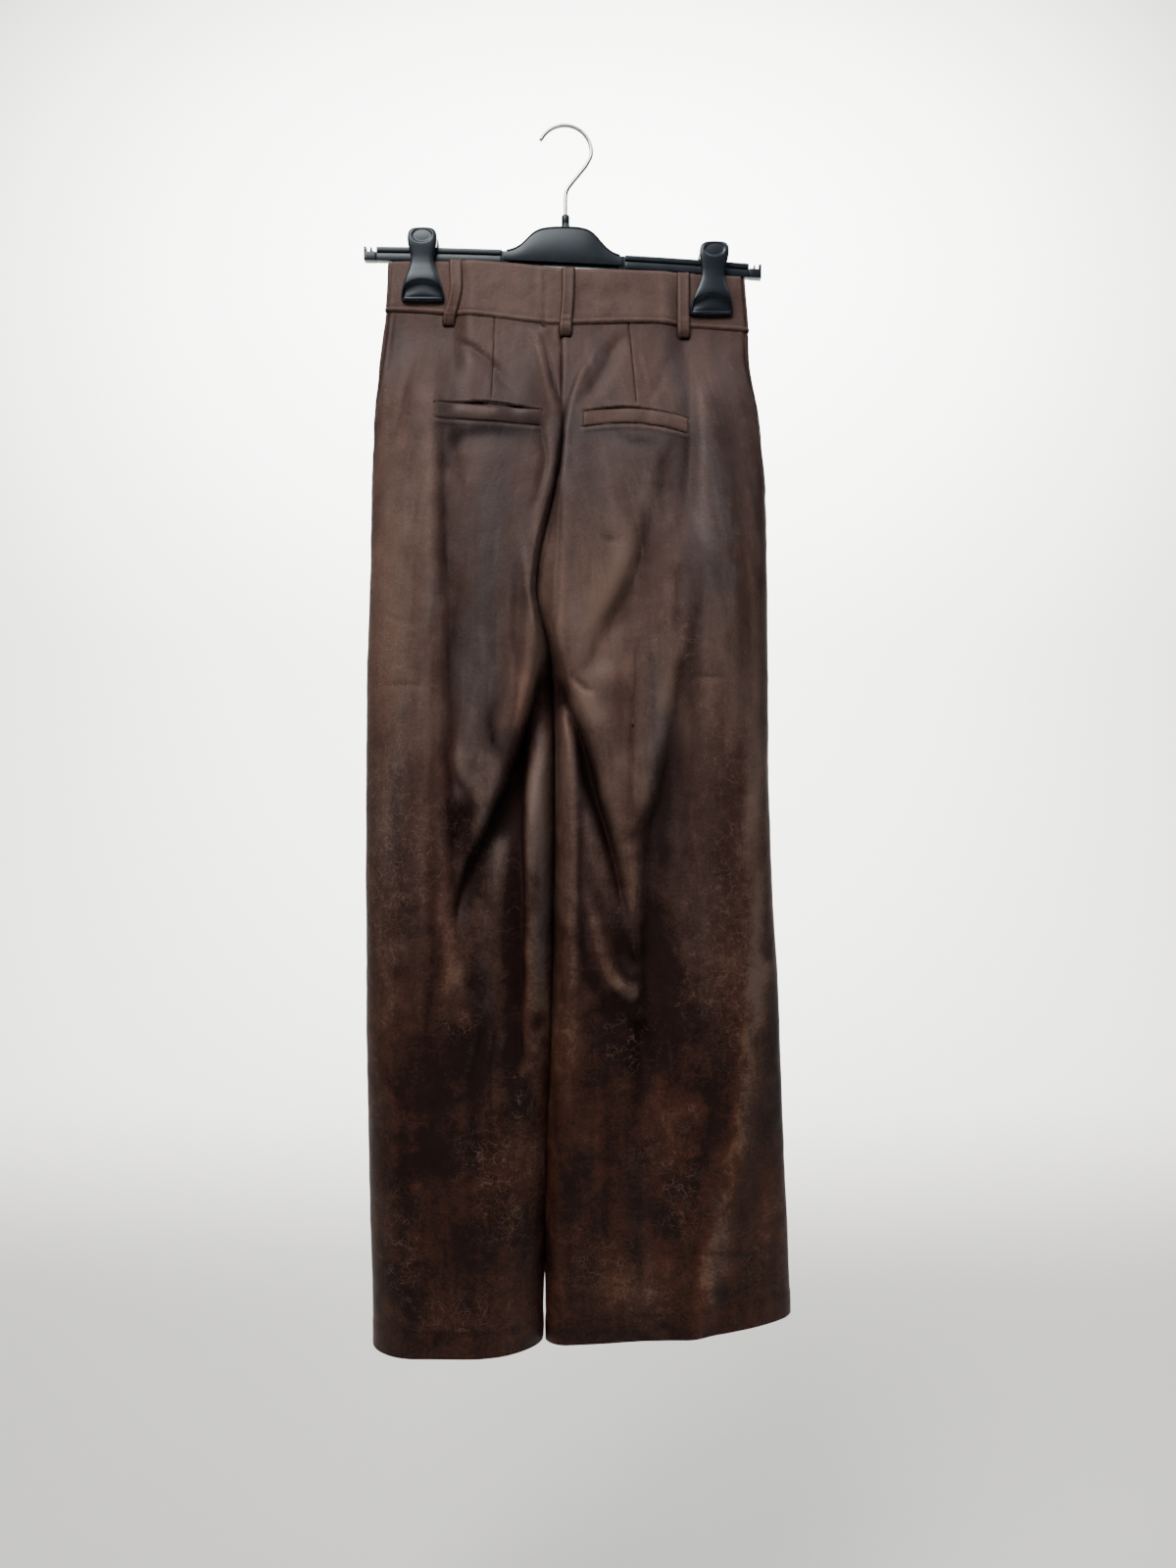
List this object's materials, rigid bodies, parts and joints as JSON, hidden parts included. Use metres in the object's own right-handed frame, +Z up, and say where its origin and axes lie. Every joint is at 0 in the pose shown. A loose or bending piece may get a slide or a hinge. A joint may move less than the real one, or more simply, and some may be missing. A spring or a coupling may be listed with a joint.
{
  "type": "faux leather trousers on a clip hanger",
  "caption": "Wide-leg faux leather trousers hanging flat from a clip hanger, seen from the back, with a waistband, belt loops, welt pockets and open legs.",
  "frame": {"origin": "inner crest of the hanger's hook, where a rail or nail carries it", "axes": "+Z up along the legs, +X across the trousers to the viewer's right when the back is seen, +Y from the back of the trousers to their front"},
  "size_m": [0.4151, 0.1094, 1.1749],
  "materials": {
    "faux_leather": "dark brown distressed faux leather, soft sheen, fine grain and pale crackle lines",
    "faux_leather_trim": "dark brown faux leather, topstitched, smoother than the legs",
    "hanger_plastic": "black moulded plastic, satin",
    "hook_steel": "bright plated steel wire"
  },
  "bodies": {
    "root": {"back_left": "faux_leather", "back_right": "faux_leather", "front_left": "faux_leather", "front_right": "faux_leather", "waistband_back": "faux_leather_trim", "waistband_front_left": "faux_leather_trim", "waistband_front_right": "faux_leather_trim", "pocket_welt_left": "faux_leather_trim", "pocket_welt_right": "faux_leather_trim", "belt_loop_back_left": "faux_leather_trim", "belt_loop_back_middle": "faux_leather_trim", "belt_loop_back_right": "faux_leather_trim", "belt_loop_front_left": "faux_leather_trim", "belt_loop_front_right": "faux_leather_trim", "front_pocket_edge_left": "faux_leather_trim", "front_pocket_edge_right": "faux_leather_trim", "fly_flap": "faux_leather_trim", "hanger_body": "hanger_plastic", "hook_socket": "hanger_plastic", "clip_left_front_jaw": "hanger_plastic", "clip_left_rear_jaw": "hanger_plastic", "clip_left_bridge": "hanger_plastic", "clip_right_front_jaw": "hanger_plastic", "clip_right_rear_jaw": "hanger_plastic", "clip_right_bridge": "hanger_plastic", "hook_wire": "hook_steel"}
  },
  "joints": []
}
